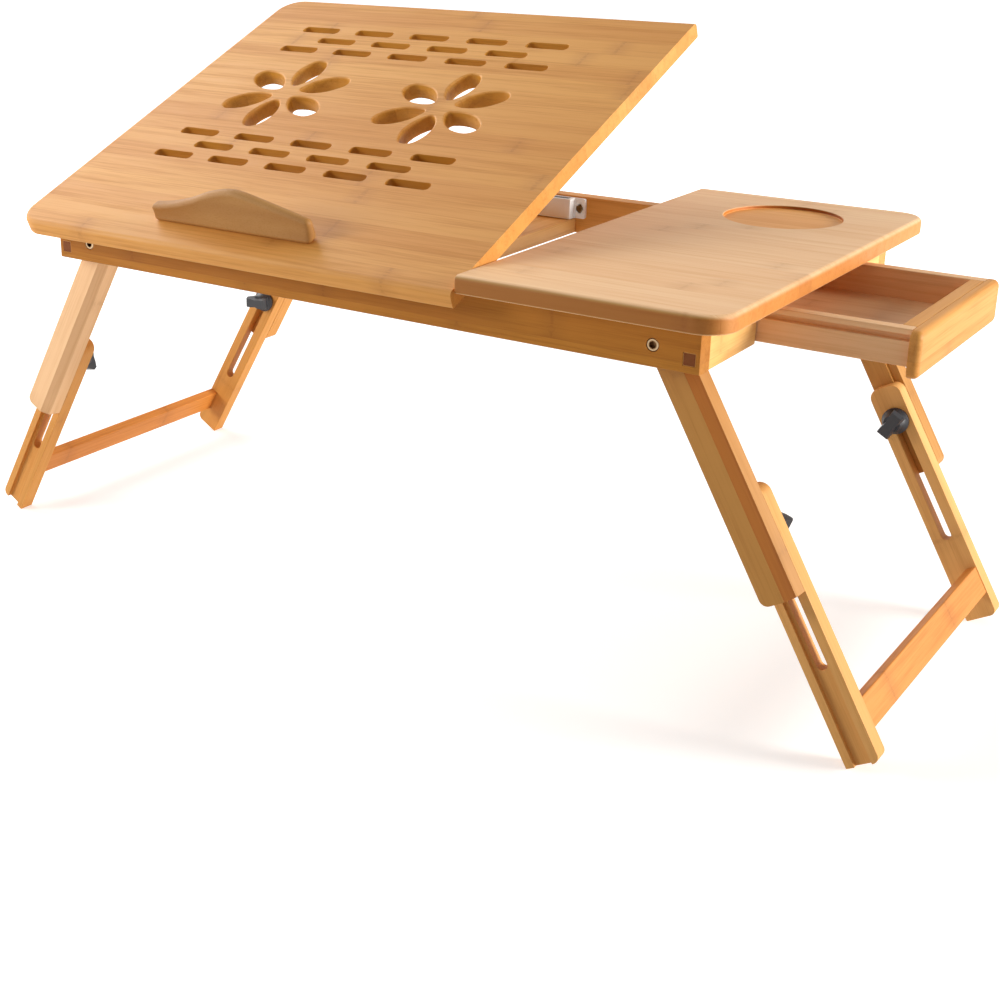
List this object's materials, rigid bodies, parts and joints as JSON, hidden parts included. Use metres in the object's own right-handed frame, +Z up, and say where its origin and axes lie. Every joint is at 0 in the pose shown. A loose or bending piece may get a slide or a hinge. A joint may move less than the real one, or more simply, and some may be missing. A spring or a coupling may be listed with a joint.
{
  "type": "laptop stand with drawer",
  "caption": "Folding bamboo bed table: a tilting slotted top with a prop and a stop ledge, a fixed side panel with a cup recess over a side drawer, and telescoping folding legs",
  "frame": {"origin": "centre of the bounding box at the floor, under the table", "axes": "+X towards the drawer end, +Y to the back, away from the user, +Z up"},
  "size_m": [0.7408, 0.3524, 0.3962],
  "materials": {
    "bamboo_top": "clear satin lacquer over edge-glued bamboo strips",
    "bamboo_frame": "clear satin lacquer",
    "bamboo_leg": "clear satin lacquer",
    "bamboo_drawer": "clear satin lacquer",
    "ledge_wood": "satin lacquer over a shaped block",
    "black_plastic": "fine moulded texture",
    "white_plastic": "smooth moulded",
    "brass": "turned",
    "steel": "zinc plated",
    "magnet": "sintered ferrite"
  },
  "bodies": {
    "frame": {"front_apron": "bamboo_frame", "back_apron": "bamboo_frame", "left_end_rail": "bamboo_frame", "right_end_rail_front": "bamboo_frame", "right_end_rail_back": "bamboo_frame", "notch_rack": "bamboo_frame", "fixed_panel": "bamboo_top", "drawer_runner_front": "bamboo_frame", "drawer_runner_back": "bamboo_frame", "pivot_bolts": "steel", "pivot_nuts": "steel", "tilt_hinge_fixed_leaves": "steel", "tilt_hinge_pins": "steel", "catch_body": "white_plastic", "catch_magnet": "magnet", "catch_screws": "steel"},
    "tilting_top": {"tilt_panel": "bamboo_top", "tilt_hinge_moving_leaves": "steel", "strike_plate": "steel", "prop_hinge_panel_leaf": "steel", "prop_hinge_pin": "steel"},
    "prop": {"prop_board": "bamboo_frame", "prop_hinge_prop_leaf": "steel"},
    "ledge": {"stop_ledge": "ledge_wood", "ledge_pegs": "bamboo_frame"},
    "drawer": {"drawer_front": "bamboo_drawer", "drawer_box_front": "bamboo_drawer", "drawer_side_front": "bamboo_drawer", "drawer_side_back": "bamboo_drawer", "drawer_box_back": "bamboo_drawer", "drawer_bottom": "bamboo_drawer"},
    "left_legs": {"front_left_upper_leg": "bamboo_leg", "back_left_upper_leg": "bamboo_leg", "left_clamping_studs": "steel"},
    "left_leg_extension": {"front_left_lower_leg": "bamboo_leg", "back_left_lower_leg": "bamboo_leg", "left_stretcher": "bamboo_leg"},
    "front_left_knob_body": {"front_left_knob": "black_plastic", "front_left_knob_insert": "brass"},
    "back_left_knob_body": {"back_left_knob": "black_plastic", "back_left_knob_insert": "brass"},
    "right_legs": {"front_right_upper_leg": "bamboo_leg", "back_right_upper_leg": "bamboo_leg", "right_clamping_studs": "steel"},
    "right_leg_extension": {"front_right_lower_leg": "bamboo_leg", "back_right_lower_leg": "bamboo_leg", "right_stretcher": "bamboo_leg"},
    "front_right_knob_body": {"front_right_knob": "black_plastic", "front_right_knob_insert": "brass"},
    "back_right_knob_body": {"back_right_knob": "black_plastic", "back_right_knob_insert": "brass"}
  },
  "joints": [
    {"name": "top_tilt", "type": "hinge", "parent": "frame", "child": "tilting_top", "pos_m": [0, -0.14929, 0.25871], "axis": [1, 0, 0], "range_deg": [-22.7, 10.3]},
    {"name": "prop_swing", "type": "hinge", "parent": "tilting_top", "child": "prop", "pos_m": [-0.011, -0.03628, 0.30599], "axis": [1, 0, 0], "range_deg": [-23.35, 10.65]},
    {"name": "ledge_lift", "type": "slide", "parent": "tilting_top", "child": "ledge", "axis": [0, -0.3859, 0.9225], "range_m": [0, 0.016]},
    {"name": "drawer_slide", "type": "slide", "parent": "frame", "child": "drawer", "axis": [1, 0, 0], "range_m": [-0.092, 0.03]},
    {"name": "left_legs_fold", "type": "hinge", "parent": "frame", "child": "left_legs", "pos_m": [-0.224, 0, 0.24551], "axis": [0, 1, 0], "range_deg": [-112, 0]},
    {"name": "left_legs_run_out", "type": "slide", "parent": "left_legs", "child": "left_leg_extension", "axis": [-0.5, 0, -0.866], "range_m": [-0.088, 0]},
    {"name": "front_left_knob_turn", "type": "hinge", "parent": "left_legs", "child": "front_left_knob_body", "pos_m": [-0.28625, -0.10529, 0.13769], "axis": [0, 1, 0], "continuous": true},
    {"name": "back_left_knob_turn", "type": "hinge", "parent": "left_legs", "child": "back_left_knob_body", "pos_m": [-0.28625, 0.10771, 0.13769], "axis": [0, -1, 0], "continuous": true},
    {"name": "right_legs_fold", "type": "hinge", "parent": "frame", "child": "right_legs", "pos_m": [0.224, 0, 0.24551], "axis": [0, -1, 0], "range_deg": [-112, 0]},
    {"name": "right_legs_run_out", "type": "slide", "parent": "right_legs", "child": "right_leg_extension", "axis": [0.5, 0, -0.866], "range_m": [-0.088, 0]},
    {"name": "front_right_knob_turn", "type": "hinge", "parent": "right_legs", "child": "front_right_knob_body", "pos_m": [0.28625, -0.10529, 0.13769], "axis": [0, 1, 0], "continuous": true},
    {"name": "back_right_knob_turn", "type": "hinge", "parent": "right_legs", "child": "back_right_knob_body", "pos_m": [0.28625, 0.10771, 0.13769], "axis": [0, -1, 0], "continuous": true}
  ],
  "couplings": [
    {"joint": "prop_swing", "follows": "top_tilt", "ratio": 1.0264}
  ]
}
